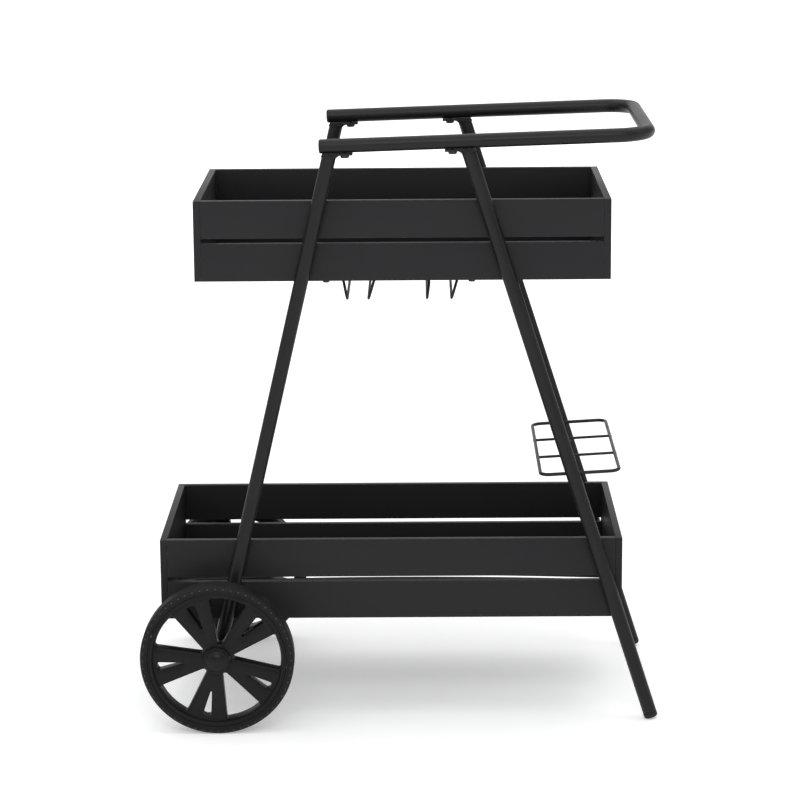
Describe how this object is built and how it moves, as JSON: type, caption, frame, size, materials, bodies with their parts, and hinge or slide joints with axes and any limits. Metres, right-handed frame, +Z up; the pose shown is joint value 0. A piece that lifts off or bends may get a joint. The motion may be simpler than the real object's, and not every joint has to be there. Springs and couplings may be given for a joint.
{
  "type": "bar cart",
  "caption": "Serving trolley: sloping tube frame on two spoked wheels and two feet, with slotted trays, a bottle grid and a wire rack for stemmed glasses.",
  "frame": {"origin": "on the floor, under the middle of the cart's overall box", "axes": "+X along the cart from the wheels to the closed push end of the handle, +Y across it, +Z up"},
  "size_m": [0.746, 0.4926, 0.8637],
  "materials": {
    "frame_powder_coat": "satin black powder coat on steel tube",
    "board_paint": "smooth satin black paint on board",
    "floor_sheet_paint": "black painted sheet",
    "wire_powder_coat": "black powder coat on wire",
    "screw_black": "blackened steel",
    "plastic_black": "moulded black plastic",
    "rim_plastic": "moulded black plastic",
    "tyre_rubber": "matt black rubber",
    "axle_steel": "bright steel rod"
  },
  "bodies": {
    "frame": {"axle": "axle_steel", "axle_cap_far": "plastic_black", "axle_cap_near": "plastic_black", "axle_spacer_far": "plastic_black", "axle_spacer_near": "plastic_black", "bottle_rack": "wire_powder_coat", "bottom_far_floor": "floor_sheet_paint", "bottom_far_lower_board": "board_paint", "bottom_far_upper_board": "board_paint", "bottom_left_end": "board_paint", "bottom_near_floor": "floor_sheet_paint", "bottom_near_lower_board": "board_paint", "bottom_near_upper_board": "board_paint", "bottom_right_end": "board_paint", "bottom_tray_screw_foot_far": "screw_black", "bottom_tray_screw_foot_near": "screw_black", "bottom_tray_screw_wheel_far": "screw_black", "bottom_tray_screw_wheel_near": "screw_black", "foot_cap_far": "plastic_black", "foot_cap_near": "plastic_black", "foot_leg_far": "frame_powder_coat", "foot_leg_near": "frame_powder_coat", "handle_plug_far": "plastic_black", "handle_plug_near": "plastic_black", "handle_screw_foot_far": "screw_black", "handle_screw_foot_near": "screw_black", "handle_screw_wheel_far": "screw_black", "handle_screw_wheel_near": "screw_black", "push_handle": "frame_powder_coat", "rack_screw_far": "screw_black", "rack_screw_near": "screw_black", "saddle_foot_far": "frame_powder_coat", "saddle_foot_near": "frame_powder_coat", "saddle_wheel_far": "frame_powder_coat", "saddle_wheel_near": "frame_powder_coat", "stem_screw_far_left": "screw_black", "stem_screw_far_right": "screw_black", "stem_screw_near_left": "screw_black", "stem_screw_near_right": "screw_black", "stemware_rack": "wire_powder_coat", "top_far_floor": "floor_sheet_paint", "top_far_lower_board": "board_paint", "top_far_upper_board": "board_paint", "top_left_end": "board_paint", "top_near_floor": "floor_sheet_paint", "top_near_lower_board": "board_paint", "top_near_upper_board": "board_paint", "top_right_end": "board_paint", "top_tray_screw_foot_far": "screw_black", "top_tray_screw_foot_near": "screw_black", "top_tray_screw_wheel_far": "screw_black", "top_tray_screw_wheel_near": "screw_black", "wheel_leg_far": "frame_powder_coat", "wheel_leg_near": "frame_powder_coat"},
    "wheel_near": {"wheel_rim_near": "rim_plastic", "wheel_tyre_near": "tyre_rubber"},
    "wheel_far": {"wheel_rim_far": "rim_plastic", "wheel_tyre_far": "tyre_rubber"}
  },
  "joints": [
    {"name": "wheel_near_spin", "type": "hinge", "parent": "frame", "child": "wheel_near", "pos_m": [-0.2625, -0.218, 0.1105], "axis": [0, 1, 0], "continuous": true},
    {"name": "wheel_far_spin", "type": "hinge", "parent": "frame", "child": "wheel_far", "pos_m": [-0.2625, 0.218, 0.1105], "axis": [0, 1, 0], "continuous": true}
  ]
}
